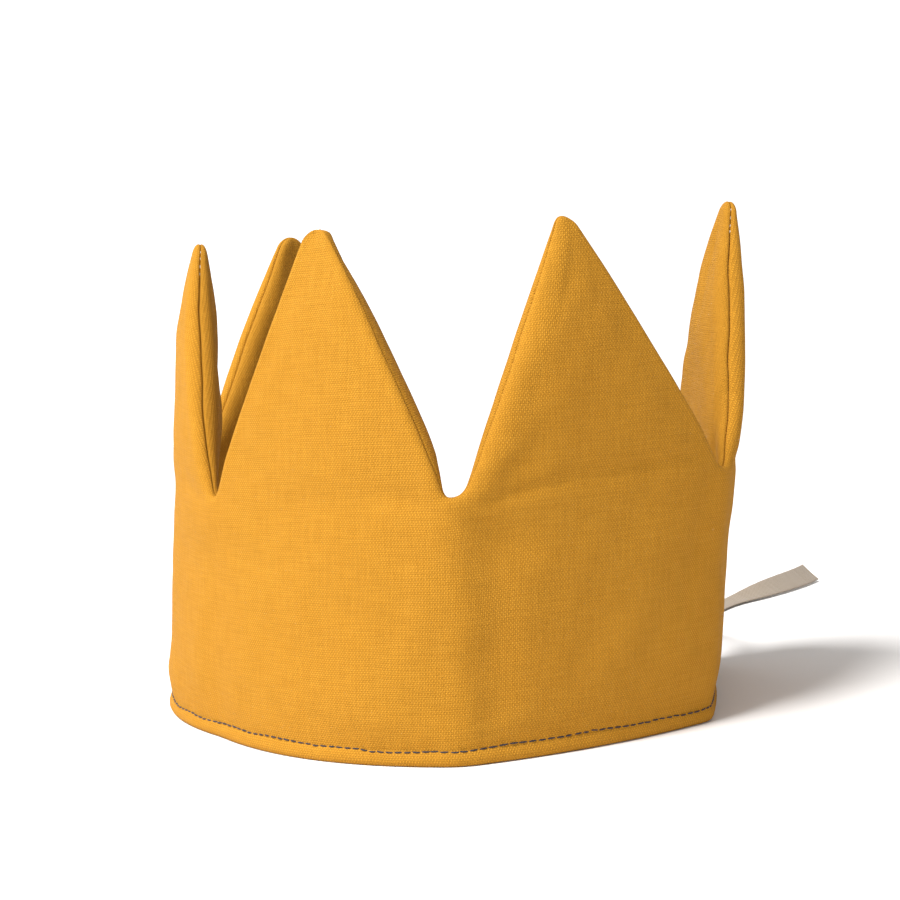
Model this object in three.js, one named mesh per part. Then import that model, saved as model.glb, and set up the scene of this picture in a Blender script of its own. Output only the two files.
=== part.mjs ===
// A child's dress-up crown: one padded canvas strip of five joined points, folded at the four
// valleys so that it stands up by itself, with a flat cotton tie sewn into its right end.
// Millimetres, +Z up. The middle point faces -Y and the crown stands on its hem at Z = 0.
import * as THREE from 'three';

// ---- driving dimensions ----
const PANEL_WIDTH = 95; // one point, from valley to valley
const BAND_HEIGHT = 82; // hem to valley
const POINT_HEIGHT = 82; // valley to tip
const CROWN_HEIGHT = BAND_HEIGHT + POINT_HEIGHT;
const TIP_HALF_WIDTH = 2.5; // the turned-out tips are blunt
const VALLEY_HALF_WIDTH = 4; // the clipped notch between two points

const CANVAS = 1.0; // one layer of cotton canvas
const SEAM_HALF = 1.9; // half the thickness at a turned seam
const PAD_HALF = 5.4; // half the thickness in the middle of a point
const PAD_RISE = 7; // how quickly the padding fills out away from a seam
const LIP_HALF = 2.1; // the rolled lip below the hem stitching
const HEM_HEIGHT = 5; // the hem stitching above the lower edge
const THREAD = 0.8;
const THREAD_SIDES = 6;
const SEAM_INSET = 2.5; // the seam thread inside the turned edge
const GAP = 0.3; // between pieces that touch
const WADDING_SLACK = 1.2; // between the wadding and the canvas
const WADDING_INSET = 7; // the wadding stops short of the seams

const FOLD_DEPTH = 3; // the folds crease on the outer canvas, this far out from the middle layer
const OUTER_CUT = 2.5; // how far each layer stops short of a fold, so that the fold can turn
const WADDING_CUT = 6;
const LINING_CUT = 6.5;
const END_CUT = 0.5; // the strip's two sewn ends

const TAPE_WIDTH = 10;
const TAPE_THICKNESS = 1.1;
const TAPE_SIDES = 8;
const UP = new THREE.Vector3(0, 0, 1);

// ---- how the strip stands ----
// Folds run from the left end (0) to the right end (5). turn: degrees that the strip turns there.
// lean: how far the valley stands off its place straight above the foot of the fold, [x, y, z].
const FOLDS = [
  { turn: 0, lean: [3, 3, -1] },
  { turn: 50, lean: [3, 3, -1] },
  { turn: 46, lean: [3, 3, -3] },
  { turn: 62.5, lean: [-1, 0, 0] },
  { turn: 55, lean: [3, 3, 1] },
  { turn: 0, lean: [-4, -2, 2] },
];
// bulge: how far the hem bows outwards. tipLean: how far the tip leans outwards.
// tipShift: how far the tip sits to the right of the panel's middle.
const PANELS = [
  { name: 'rear_left', bulge: 5, tipLean: 0, tipShift: 0 },
  { name: 'left', bulge: 13, tipLean: 5, tipShift: 0 },
  { name: 'front', bulge: 12, tipLean: -3, tipShift: -4.5 },
  { name: 'right', bulge: 5, tipLean: -2, tipShift: -6 },
  { name: 'rear_right', bulge: 3, tipLean: 15, tipShift: 0 },
];
const FRONT = 2;
const FRONT_FOOT = [-38.1, -77.9]; // foot of the front panel's left fold, with the crown centred

// The tie runs from the end seam down to the ground. Each point is [x, y, z, twist], and twist is
// 0 where the tape stands on its edge and 90 where it lies flat.
const TIE_ROUTE = [
  [52.4, 89.1, 32, 0],
  [48.7, 97, 31.8, 2],
  [44.6, 106.1, 30, 7],
  [40.7, 115.3, 25, 15],
  [36.6, 124.5, 17.5, 28],
  [32.3, 133.5, 10, 44],
  [28, 142.7, 4.8, 62],
  [24, 152, 2, 77],
  [20.6, 161.5, 1, 87],
  [17.9, 171.3, 0.8, 90],
  [16.2, 181.4, 0.8, 90],
  [15.5, 191.5, 0.8, 90],
  [15.9, 201, 0.9, 90],
  [17.6, 210.5, 1.6, 82],
  [20, 219.1, 2.6, 71],
  [22, 228, 3.3, 62],
  [23.6, 237.5, 3.7, 56],
  [24.7, 247.5, 3.9, 53],
  [25.3, 258, 4, 51],
  [25, 269, 4.1, 50],
];

// ---- materials ----
const canvas = new THREE.MeshStandardMaterial({ color: 0xe5a02c, roughness: 0.9, metalness: 0 });
const lining = new THREE.MeshStandardMaterial({ color: 0xdb9728, roughness: 0.9, metalness: 0 });
const wadding = new THREE.MeshStandardMaterial({ color: 0xf2efe8, roughness: 1, metalness: 0 });
const hemThread = new THREE.MeshStandardMaterial({ color: 0x5f5a63, roughness: 0.6, metalness: 0 });
const seamThread = new THREE.MeshStandardMaterial({ color: 0xe9dcc0, roughness: 0.6, metalness: 0 });
const cotton = new THREE.MeshStandardMaterial({ color: 0xd3c8b4, roughness: 0.85, metalness: 0 });

// ---- the middle surface of the strip ----
function footPlan() {
  const feet = [];
  feet[FRONT] = new THREE.Vector2(...FRONT_FOOT);
  feet[FRONT + 1] = stepFrom(feet[FRONT], 0);
  let heading = 0;
  for (let i = FRONT + 1; i < PANELS.length; i++) {
    heading += THREE.MathUtils.degToRad(FOLDS[i].turn);
    feet[i + 1] = stepFrom(feet[i], heading);
  }
  heading = Math.PI;
  for (let i = FRONT; i > 0; i--) {
    heading -= THREE.MathUtils.degToRad(FOLDS[i].turn);
    feet[i - 1] = stepFrom(feet[i], heading);
  }
  return feet;
}

function stepFrom(point, heading) {
  return new THREE.Vector2(
    point.x + PANEL_WIDTH * Math.cos(heading),
    point.y + PANEL_WIDTH * Math.sin(heading),
  );
}

const FEET = footPlan();

function foldAt(i, z) {
  const share = z / BAND_HEIGHT;
  const foot = new THREE.Vector3(FEET[i].x, FEET[i].y, z);
  return foot.addScaledVector(new THREE.Vector3(...FOLDS[i].lean), share);
}

function outward(i) {
  const along = new THREE.Vector2().subVectors(FEET[i + 1], FEET[i]).normalize();
  return new THREE.Vector3(along.y, -along.x, 0);
}

// A place on panel i: s across from its left fold, z up, depth outwards from the middle layer.
function place(i, s, z, depth) {
  const across = s / PANEL_WIDTH;
  const up = z / CROWN_HEIGHT;
  const bow = PANELS[i].bulge * (1 - up) * 4 * across * (1 - across);
  const out = bow + PANELS[i].tipLean * up * up - FOLD_DEPTH + depth;
  const point = foldAt(i, z).lerp(foldAt(i + 1, z), across);
  return point.addScaledVector(outward(i), out);
}

// ---- the outline of one point ----
function sideAt(i, z, right, inset) {
  const tip = PANEL_WIDTH / 2 + PANELS[i].tipShift;
  const valley = right ? PANEL_WIDTH - VALLEY_HALF_WIDTH : VALLEY_HALF_WIDTH;
  const top = right ? tip + TIP_HALF_WIDTH : tip - TIP_HALF_WIDTH;
  const climb = Math.max(0, z - BAND_HEIGHT) / POINT_HEIGHT;
  const edge = valley + (top - valley) * climb;
  return right ? edge - inset : edge + inset;
}

function spanAt(i, z, cut, inset) {
  const leftCut = i === 0 ? END_CUT + inset : cut;
  const rightCut = i === PANELS.length - 1 ? END_CUT + inset : cut;
  const above = z > BAND_HEIGHT;
  return [
    above ? Math.max(leftCut, sideAt(i, z, false, inset)) : leftCut,
    above ? Math.min(PANEL_WIDTH - rightCut, sideAt(i, z, true, inset)) : PANEL_WIDTH - rightCut,
  ];
}

// How far a place is from the nearest turned seam of panel i.
function seamDistance(i, s, z) {
  const tip = new THREE.Vector2(PANEL_WIDTH / 2 + PANELS[i].tipShift, CROWN_HEIGHT);
  const spot = new THREE.Vector2(s, z);
  let nearest = Infinity;
  for (const valleyS of [0, PANEL_WIDTH]) {
    const valley = new THREE.Vector2(valleyS, BAND_HEIGHT);
    const edge = new THREE.Vector2().subVectors(tip, valley);
    const along = new THREE.Vector2().subVectors(spot, valley).dot(edge) / edge.lengthSq();
    const foot = valley.addScaledVector(edge, THREE.MathUtils.clamp(along, 0, 1));
    nearest = Math.min(nearest, foot.distanceTo(spot));
  }
  if (i === 0) nearest = Math.min(nearest, s);
  if (i === PANELS.length - 1) nearest = Math.min(nearest, PANEL_WIDTH - s);
  return nearest;
}

// Half the thickness of the padded strip at a place.
function halfThickness(i, s, z) {
  if (z < HEM_HEIGHT) return SEAM_HALF + (LIP_HALF - SEAM_HALF) * (1 - z / HEM_HEIGHT);
  const fromSeam = 1 - Math.exp(-seamDistance(i, s, z) / PAD_RISE);
  const fromHem = 1 - Math.exp(-(z - HEM_HEIGHT) / PAD_RISE);
  return SEAM_HALF + (PAD_HALF - SEAM_HALF) * fromSeam * fromHem;
}

// ---- closed solids from two facing grids of points ----
function slab(front, back) {
  const rows = front.length;
  const columns = front[0].length;
  const positions = [];
  for (const grid of [front, back]) {
    for (const row of grid) {
      for (const point of row) positions.push(point.x, point.y, point.z);
    }
  }
  const at = (side, row, column) => (side * rows + row) * columns + column;
  const faces = [];
  const quad = (a, b, c, d) => faces.push(a, b, c, a, c, d);
  for (let r = 0; r + 1 < rows; r++) {
    for (let c = 0; c + 1 < columns; c++) {
      quad(at(0, r, c), at(0, r, c + 1), at(0, r + 1, c + 1), at(0, r + 1, c));
      quad(at(1, r, c), at(1, r + 1, c), at(1, r + 1, c + 1), at(1, r, c + 1));
    }
  }
  const last = columns - 1;
  for (let r = 0; r + 1 < rows; r++) {
    quad(at(0, r, 0), at(0, r + 1, 0), at(1, r + 1, 0), at(1, r, 0));
    quad(at(0, r, last), at(1, r, last), at(1, r + 1, last), at(0, r + 1, last));
  }
  for (let c = 0; c < last; c++) {
    quad(at(0, 0, c), at(1, 0, c), at(1, 0, c + 1), at(0, 0, c + 1));
    quad(at(0, rows - 1, c), at(0, rows - 1, c + 1), at(1, rows - 1, c + 1), at(1, rows - 1, c));
  }
  return closedGeometry(positions, faces);
}

function closedGeometry(positions, faces) {
  const geometry = new THREE.BufferGeometry();
  geometry.setAttribute('position', new THREE.Float32BufferAttribute(positions, 3));
  geometry.setIndex(faces);
  geometry.computeVertexNormals();
  return geometry;
}

// Heights of the rows of points, and how far across a row its points are. Both are closer near the seams.
const BAND_ROWS = [14, 30, 56];
const POINT_ROWS = [98, 116, 134];
const CANVAS_ROWS = [0, HEM_HEIGHT, ...BAND_ROWS, BAND_HEIGHT, ...POINT_ROWS, 150, CROWN_HEIGHT];
const WADDING_ROWS = [
  HEM_HEIGHT + WADDING_INSET,
  ...BAND_ROWS.slice(1),
  BAND_HEIGHT - WADDING_INSET,
  ...POINT_ROWS,
  144,
];
const ACROSS = [0, 0.1, 0.3, 0.5, 0.7, 0.9, 1];

// One layer of panel i between two depths, each a function of the half thickness.
function layer(i, rows, cut, inset, frontDepth, backDepth) {
  const grid = (depth) =>
    rows.map((z) => {
      const [left, right] = spanAt(i, z, cut, inset);
      return ACROSS.map((share) => {
        const s = left + (right - left) * share;
        return place(i, s, z, depth(halfThickness(i, s, z)));
      });
    });
  return slab(grid(frontDepth), grid(backDepth));
}

const outerCanvas = (i) => layer(i, CANVAS_ROWS, OUTER_CUT, 0, (half) => half, (half) => half - CANVAS);
const liningCanvas = (i) => layer(i, CANVAS_ROWS, LINING_CUT, 0, (half) => CANVAS - half, (half) => -half);

function waddingPad(i) {
  const half = (outer) => outer - CANVAS - WADDING_SLACK;
  return layer(i, WADDING_ROWS, WADDING_CUT, WADDING_INSET, half, (outer) => -half(outer));
}

// ---- threads and tapes: a section swept along points, with closed ends ----
// section: [x, y] pairs, x along the side that sideOf gives for each tangent and point number.
function sweep(section, points, sideOf) {
  const positions = [];
  points.forEach((point, k) => {
    const before = points[Math.max(0, k - 1)];
    const after = points[Math.min(points.length - 1, k + 1)];
    const tangent = new THREE.Vector3().subVectors(after, before).normalize();
    const side = sideOf(tangent, k);
    const normal = new THREE.Vector3().crossVectors(tangent, side);
    for (const [x, y] of section) {
      const corner = point.clone().addScaledVector(side, x).addScaledVector(normal, y);
      positions.push(corner.x, corner.y, corner.z);
    }
  });
  const count = section.length;
  const faces = [];
  for (let ring = 0; ring + 1 < points.length; ring++) {
    for (let k = 0; k < count; k++) {
      const here = ring * count + k;
      const beside = ring * count + ((k + 1) % count);
      faces.push(here, beside, beside + count, here, beside + count, here + count);
    }
  }
  const lastRing = (points.length - 1) * count;
  for (let k = 1; k + 1 < count; k++) {
    faces.push(0, k + 1, k, lastRing, lastRing + k, lastRing + k + 1);
  }
  return closedGeometry(positions, faces);
}

function roundSection(width, height, sides) {
  const section = [];
  for (let k = 0; k < sides; k++) {
    const angle = ((k + 0.5) * 2 * Math.PI) / sides;
    section.push([(width / 2) * Math.cos(angle), (height / 2) * Math.sin(angle)]);
  }
  return section;
}

// The hem is sewn through: its thread shows on the outside (face 1) and the inside (face -1).
function hemStitching(i, face) {
  const [left, right] = spanAt(i, HEM_HEIGHT, face > 0 ? OUTER_CUT : LINING_CUT, 0);
  const points = ACROSS.map((share) => {
    const s = left + (right - left) * share;
    const depth = halfThickness(i, s, HEM_HEIGHT) + GAP + THREAD / 2;
    return place(i, s, HEM_HEIGHT, face * depth);
  });
  const section = roundSection(THREAD, THREAD, THREAD_SIDES);
  return sweep(section, points, (tangent) => new THREE.Vector3().crossVectors(UP, tangent).normalize());
}

// The seam thread of a point runs between the two layers, just inside the turned edge.
function seamStitching(i) {
  const heights = [BAND_HEIGHT + 2 * SEAM_INSET, ...POINT_ROWS, CROWN_HEIGHT - 3 * SEAM_INSET];
  const leftSide = heights.map((z) => place(i, sideAt(i, z, false, SEAM_INSET), z, 0));
  const rightSide = heights.map((z) => place(i, sideAt(i, z, true, SEAM_INSET), z, 0)).reverse();
  const top = place(i, PANEL_WIDTH / 2 + PANELS[i].tipShift, CROWN_HEIGHT - 2 * SEAM_INSET, 0);
  const section = roundSection(THREAD, THREAD, THREAD_SIDES);
  return sweep(section, [...leftSide, top, ...rightSide], (tangent) =>
    new THREE.Vector3().crossVectors(outward(i), tangent).normalize(),
  );
}

// A flat cotton tape along a route, cut square at its free end.
function tie(route) {
  const points = route.map(([x, y, z]) => new THREE.Vector3(x, y, z));
  const section = roundSection(TAPE_WIDTH, TAPE_THICKNESS, TAPE_SIDES);
  return sweep(section, points, (tangent, k) => {
    const twist = THREE.MathUtils.degToRad(route[k][3]);
    const flat = new THREE.Vector3().crossVectors(UP, tangent).normalize();
    const upright = new THREE.Vector3().crossVectors(tangent, flat);
    return upright.multiplyScalar(Math.cos(twist)).addScaledVector(flat, Math.sin(twist));
  });
}

// ---- the crown ----
const crown = new THREE.Group();

function add(name, geometry, material) {
  const mesh = new THREE.Mesh(geometry, material);
  mesh.name = name;
  crown.add(mesh);
}

PANELS.forEach((panel, i) => {
  add(`outer_canvas_${panel.name}`, outerCanvas(i), canvas);
  add(`lining_canvas_${panel.name}`, liningCanvas(i), lining);
  add(`wadding_${panel.name}`, waddingPad(i), wadding);
  add(`hem_stitch_outer_${panel.name}`, hemStitching(i, 1), hemThread);
  add(`hem_stitch_inner_${panel.name}`, hemStitching(i, -1), hemThread);
  add(`seam_thread_${panel.name}`, seamStitching(i), seamThread);
});
add('tie_right', tie(TIE_ROUTE), cotton);

export default crown;
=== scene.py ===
import math

import bpy
import numpy as np
from mathutils import Matrix, Vector


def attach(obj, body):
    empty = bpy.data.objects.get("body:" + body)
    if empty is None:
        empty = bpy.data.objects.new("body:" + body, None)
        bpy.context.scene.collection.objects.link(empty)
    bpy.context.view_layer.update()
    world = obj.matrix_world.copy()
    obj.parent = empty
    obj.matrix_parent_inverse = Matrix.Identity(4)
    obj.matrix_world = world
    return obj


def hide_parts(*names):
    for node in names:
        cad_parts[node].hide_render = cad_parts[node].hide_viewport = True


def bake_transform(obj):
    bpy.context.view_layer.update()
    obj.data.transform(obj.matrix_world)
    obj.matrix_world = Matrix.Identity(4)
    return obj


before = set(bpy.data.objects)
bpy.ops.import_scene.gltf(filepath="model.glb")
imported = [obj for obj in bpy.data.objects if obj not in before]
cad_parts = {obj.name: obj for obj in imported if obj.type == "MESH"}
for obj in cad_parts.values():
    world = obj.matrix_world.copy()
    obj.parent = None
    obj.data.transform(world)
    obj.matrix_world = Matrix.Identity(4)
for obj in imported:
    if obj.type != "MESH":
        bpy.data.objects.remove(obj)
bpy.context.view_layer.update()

# ---- sizes, in metres: the CAD's, but three tips lean or shift a little differently ----
MM = 0.001
PANEL_WIDTH = 95 * MM  # one point, from valley to valley
BAND_HEIGHT = 82 * MM  # hem to valley
POINT_HEIGHT = 82 * MM  # valley to tip
CROWN_HEIGHT = BAND_HEIGHT + POINT_HEIGHT
HEM_HEIGHT = 5 * MM
MIDDLE_DEPTH = 3 * MM  # the middle layer lies this far inside the line of the folds
FOLD_TURNS = [0, 50, 46, 62.5, 55, 0]
FOLD_LEANS = np.array([[3, 3, -1], [3, 3, -1], [3, 3, -3], [-1, 0, 0], [3, 3, 1], [-4, -2, 2]]) * MM
FRONT = 2
FRONT_FOOT = np.array([-38.1, -77.9]) * MM

PANELS = [
    {"name": "rear_left", "bulge": 5 * MM, "tip_lean": 0.0, "tip_shift": 0.0},
    {"name": "left", "bulge": 13 * MM, "tip_lean": 5 * MM, "tip_shift": 0.0},
    {"name": "front", "bulge": 12 * MM, "tip_lean": -1 * MM, "tip_shift": -2.7 * MM},
    {"name": "right", "bulge": 5 * MM, "tip_lean": 3 * MM, "tip_shift": -10.4 * MM},
    {"name": "rear_right", "bulge": 3 * MM, "tip_lean": 14 * MM, "tip_shift": 0.0},
]
NAMES = [panel["name"] for panel in PANELS]
STRIP_WIDTH = len(PANELS) * PANEL_WIDTH


# ---- camera ----
CAMERA_PLACE = (0.3754, -0.5722, 0.154)
CAMERA_HEADING = (-0.5417, 0.8406, 0)
CAMERA_PITCH = 5.6  # degrees down from level
CAMERA_ROLL = -2.2
LENS = 80  # in the sensor's millimetres


def add_camera():
    data = bpy.data.cameras.new("camera")
    data.lens = LENS
    data.sensor_width = 36
    data.clip_start = 0.02
    data.clip_end = 50
    camera = bpy.data.objects.new("camera", data)
    bpy.context.scene.collection.objects.link(camera)
    pitch = math.radians(CAMERA_PITCH)
    level = Vector(CAMERA_HEADING).normalized()
    forward = level * math.cos(pitch) - Vector((0, 0, 1)) * math.sin(pitch)
    right = forward.cross(Vector((0, 0, 1))).normalized()
    up = right.cross(forward)
    turn = Matrix((right, up, -forward)).transposed().to_4x4()
    roll = Matrix.Rotation(math.radians(CAMERA_ROLL), 4, "Z")
    camera.matrix_world = Matrix.Translation(Vector(CAMERA_PLACE)) @ turn @ roll
    bpy.context.scene.camera = camera


add_camera()


# ---- meshes from arrays ----
def mesh_object(name, points, quads, triangles=()):
    mesh = bpy.data.meshes.new(name)
    faces = [tuple(face) for face in np.asarray(quads).tolist()]
    faces += [tuple(face) for face in triangles]
    mesh.from_pydata(np.asarray(points).tolist(), [], faces)
    mesh.update()
    piece = bpy.data.objects.new(name, mesh)
    bpy.context.scene.collection.objects.link(piece)
    mesh.polygons.foreach_set("use_smooth", np.ones(len(mesh.polygons), bool))
    return piece


def unit(vectors):
    return vectors / np.maximum(np.linalg.norm(vectors, axis=-1, keepdims=True), 1e-12)


def corner_points(mesh):
    """The number of the point at each corner of each face."""
    numbers = np.zeros(len(mesh.loops), int)
    mesh.loops.foreach_get("vertex_index", numbers)
    return numbers


def diagonal_cross(points, quads):
    a, b, c, d = (points[quads[:, k]] for k in range(4))
    return np.cross(c - a, d - b)


def grid_quads(index):
    return np.stack([index[:-1, :-1], index[:-1, 1:], index[1:, 1:], index[1:, :-1]], -1).reshape(-1, 4)


# ---- material nodes ----
def map_range(tree, value, low, high, to_low, to_high):
    node = tree.nodes.new("ShaderNodeMapRange")
    for key, number in (("From Min", low), ("From Max", high), ("To Min", to_low), ("To Max", to_high)):
        node.inputs[key].default_value = number
    tree.links.new(value, node.inputs["Value"])
    return node.outputs["Result"]


class Nodes:
    """A material's node tree, with short calls for the nodes that are used here."""

    def __init__(self, name):
        self.material = bpy.data.materials.new(name)
        self.material.use_nodes = True
        self.tree = self.material.node_tree
        self.shader = next(n for n in self.tree.nodes if n.type == "BSDF_PRINCIPLED")

    def put(self, socket, value):
        if isinstance(value, bpy.types.NodeSocket):
            self.tree.links.new(value, socket)
        else:
            socket.default_value = value

    def math(self, operation, a, b=0.0, clamp=False):
        node = self.tree.nodes.new("ShaderNodeMath")
        node.operation = operation
        node.use_clamp = clamp
        self.put(node.inputs[0], a)
        self.put(node.inputs[1], b)
        return node.outputs[0]

    def pattern_place(self):
        """The place on the flat cloth, in metres, from the UV map named pattern."""
        node = self.tree.nodes.new("ShaderNodeUVMap")
        node.uv_map = "pattern"
        split = self.tree.nodes.new("ShaderNodeSeparateXYZ")
        self.put(split.inputs[0], node.outputs["UV"])
        return node.outputs["UV"], split.outputs["X"], split.outputs["Y"]

    def object_place(self):
        return self.tree.nodes.new("ShaderNodeTexCoord").outputs["Object"]

    def stretched(self, vector, scale):
        node = self.tree.nodes.new("ShaderNodeMapping")
        node.inputs["Scale"].default_value = scale
        self.put(node.inputs["Vector"], vector)
        return node.outputs["Vector"]

    def noise(self, vector, scale, detail=2.0, roughness=0.5):
        node = self.tree.nodes.new("ShaderNodeTexNoise")
        node.inputs["Scale"].default_value = scale
        node.inputs["Detail"].default_value = detail
        node.inputs["Roughness"].default_value = roughness
        self.put(node.inputs["Vector"], vector)
        return node.outputs["Fac"]

    def fit(self, value, low, high, to_low, to_high):
        return map_range(self.tree, value, low, high, to_low, to_high)

    def mix(self, share, a, b, blend="MIX"):
        node = self.tree.nodes.new("ShaderNodeMix")
        node.data_type = "RGBA"
        node.blend_type = blend
        self.put(node.inputs[0], share)
        self.put(node.inputs[6], a)
        self.put(node.inputs[7], b)
        return node.outputs[2]

    def bump(self, height, distance, strength=1.0, below=None):
        node = self.tree.nodes.new("ShaderNodeBump")
        node.inputs["Strength"].default_value = strength
        node.inputs["Distance"].default_value = distance
        self.put(node.inputs["Height"], height)
        if below is not None:
            self.put(node.inputs["Normal"], below)
        return node.outputs["Normal"]

    def finish(self, colour, roughness, normal, sheen=0.0, sheen_tint=(1, 1, 1, 1)):
        self.put(self.shader.inputs["Base Color"], colour)
        self.put(self.shader.inputs["Roughness"], roughness)
        self.put(self.shader.inputs["Normal"], normal)
        self.shader.inputs["Sheen Weight"].default_value = sheen
        self.shader.inputs["Sheen Roughness"].default_value = 0.5
        self.shader.inputs["Sheen Tint"].default_value = sheen_tint
        self.shader.inputs["Specular IOR Level"].default_value = 0.1
        return self.material


CANVAS_PITCHES = (0.49 * MM, 0.68 * MM)  # from one thread to the next, across and up
CANVAS_CRIMPS = (0.45, 0.33)  # less than 1 makes the threads fuller
CANVAS_BUMP = 0.33 * MM
FUZZ_BUMP = 0.04 * MM
THREAD_BUMP = 0.1 * MM
TAPE_PITCHES = (0.45 * MM, 0.45 * MM)
TAPE_CRIMPS = (0.7, 0.7)
TAPE_BUMP = 0.15 * MM
WADDING_BUMP = 0.8 * MM


def plain_weave(nodes, x, y, pitches, crimps):
    """Height of a plain weave with threads along x and y: each thread arches over every second one."""
    across_x = nodes.math("SINE", nodes.math("MULTIPLY", x, math.pi / pitches[0]))
    across_y = nodes.math("SINE", nodes.math("MULTIPLY", y, math.pi / pitches[1]))
    both = nodes.math("MULTIPLY", across_x, across_y)
    arch_x = nodes.math("POWER", nodes.math("ABSOLUTE", across_x), crimps[0])
    arch_y = nodes.math("POWER", nodes.math("ABSOLUTE", across_y), crimps[1])
    arch = nodes.math("MULTIPLY", arch_x, arch_y)
    side = nodes.fit(nodes.math("SIGN", both), -1, 1, 0.25, 1.0)
    return nodes.math("MULTIPLY", arch, side)


def canvas_material(name, base, gap):
    nodes = Nodes(name)
    vector, x, y = nodes.pattern_place()
    wobble = nodes.fit(nodes.noise(vector, 60, 2), 0.3, 0.7, -0.25 * MM, 0.25 * MM)
    x, y = nodes.math("ADD", x, wobble), nodes.math("ADD", y, wobble)
    height = plain_weave(nodes, x, y, CANVAS_PITCHES, CANVAS_CRIMPS)
    weft = nodes.noise(nodes.stretched(vector, (90, 1100, 1)), 1.0, 3)
    warp = nodes.noise(nodes.stretched(vector, (1100, 90, 1)), 1.0, 3)
    yarns = nodes.math("MULTIPLY", nodes.math("ADD", weft, warp), 0.5)
    patches = nodes.noise(vector, 22, 3)
    specks = nodes.fit(nodes.noise(vector, 420, 1), 0.8, 0.86, 0, 0.5)
    dust = nodes.fit(nodes.noise(nodes.stretched(vector, (1, 1.3, 1)), 380, 1), 0.8, 0.86, 0, 0.5)
    # The darker gap colour where the weave dips is painted shade between the threads.
    cloth = nodes.mix(nodes.fit(height, 0.1, 0.8, 0.0, 1.0), gap, base)
    cloth = nodes.mix(nodes.fit(yarns, 0.38, 0.62, 0.0, 0.5), cloth, (0.8, 0.76, 0.66, 1), "MULTIPLY")
    cloth = nodes.mix(nodes.fit(patches, 0.3, 0.7, 0.0, 0.3), cloth, (0.94, 0.9, 0.84, 1), "MULTIPLY")
    cloth = nodes.mix(specks, cloth, (0.6, 0.42, 0.16, 1))
    cloth = nodes.mix(dust, cloth, (0.12, 0.05, 0.01, 1))
    threads = nodes.math("ADD", nodes.math("MULTIPLY", height, 0.8), nodes.math("MULTIPLY", yarns, 0.7))
    fuzz = nodes.noise(nodes.object_place(), 2600, 2)
    below = nodes.bump(threads, CANVAS_BUMP, 0.95)
    normal = nodes.bump(fuzz, FUZZ_BUMP, 0.4, below)
    roughness = nodes.fit(yarns, 0.3, 0.7, 0.82, 0.95)
    return nodes.finish(cloth, roughness, normal, 0.03, (1.0, 0.75, 0.35, 1))


def thread_material(name, base, shade):
    nodes = Nodes(name)
    place = nodes.object_place()
    strands = nodes.noise(place, 3500, 2)
    slow = nodes.noise(place, 180, 2)
    colour = nodes.mix(nodes.fit(strands, 0.3, 0.7, 0, 1), shade, base)
    colour = nodes.mix(nodes.fit(slow, 0.3, 0.7, 0, 0.4), colour, (0.7, 0.7, 0.75, 1), "MULTIPLY")
    normal = nodes.bump(strands, THREAD_BUMP, 0.6)
    return nodes.finish(colour, nodes.fit(strands, 0.3, 0.7, 0.5, 0.7), normal, 0.1)


def tape_material():
    nodes = Nodes("cotton_tape")
    vector, x, y = nodes.pattern_place()
    height = plain_weave(nodes, x, y, TAPE_PITCHES, TAPE_CRIMPS)
    ribs = nodes.noise(nodes.stretched(vector, (500, 40, 1)), 1.0, 3)
    slow = nodes.noise(vector, 60, 2)
    # The darker gap colour where the weave dips is painted shade between the threads.
    colour = nodes.mix(nodes.fit(height, 0.1, 0.8, 0, 1), TAPE_GAP_SHADE, TAPE_BASE)
    colour = nodes.mix(nodes.fit(ribs, 0.35, 0.65, 0, 0.4), colour, (0.8, 0.78, 0.74, 1), "MULTIPLY")
    colour = nodes.mix(nodes.fit(slow, 0.3, 0.7, 0, 0.3), colour, (0.85, 0.8, 0.72, 1), "MULTIPLY")
    normal = nodes.bump(nodes.math("ADD", height, ribs), TAPE_BUMP, 0.8)
    return nodes.finish(colour, nodes.fit(ribs, 0.3, 0.7, 0.8, 0.95), normal, 0.15)


def wadding_material():
    nodes = Nodes("polyester_wadding")
    place = nodes.object_place()
    fibres = nodes.noise(nodes.stretched(place, (900, 900, 300)), 1.0, 4, 0.7)
    clumps = nodes.noise(place, 90, 3)
    colour = nodes.mix(nodes.fit(fibres, 0.3, 0.7, 0, 1), (0.7, 0.69, 0.66, 1), (0.88, 0.87, 0.85, 1))
    normal = nodes.bump(nodes.math("ADD", fibres, clumps), WADDING_BUMP, 0.8)
    return nodes.finish(colour, nodes.fit(clumps, 0.3, 0.7, 0.9, 1.0), normal, 0.3)


CANVAS_BASE = (0.548, 0.255, 0.0228, 1)
# The lining is the face canvas made darker: its lower base is painted shade for the inside faces and
# turned-in edges.
LINING_BASE_SHADED = (0.455, 0.213, 0.0195, 1)
CANVAS_GAP_SHADE = (0.393, 0.177, 0.0152, 1)  # painted shade deep between the threads
TAPE_BASE = (0.415, 0.342, 0.27, 1)
# painted shade deep between the tape's threads
TAPE_GAP_SHADE = (0.27, 0.223, 0.173, 1)
HEM_THREAD_COLOURS = (0.06, 0.05, 0.055, 1), (0.02, 0.017, 0.02, 1)
SEAM_THREAD_COLOURS = (0.75, 0.68, 0.55, 1), (0.5, 0.42, 0.3, 1)
MATERIALS = {
    "outer": canvas_material("outer_canvas", CANVAS_BASE, CANVAS_GAP_SHADE),
    "lining": canvas_material("lining_canvas", LINING_BASE_SHADED, CANVAS_GAP_SHADE),
    "hem_thread": thread_material("hem_thread", *HEM_THREAD_COLOURS),
    "seam_thread": thread_material("seam_thread", *SEAM_THREAD_COLOURS),
    "tape": tape_material(),
    "wadding": wadding_material(),
}

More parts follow.
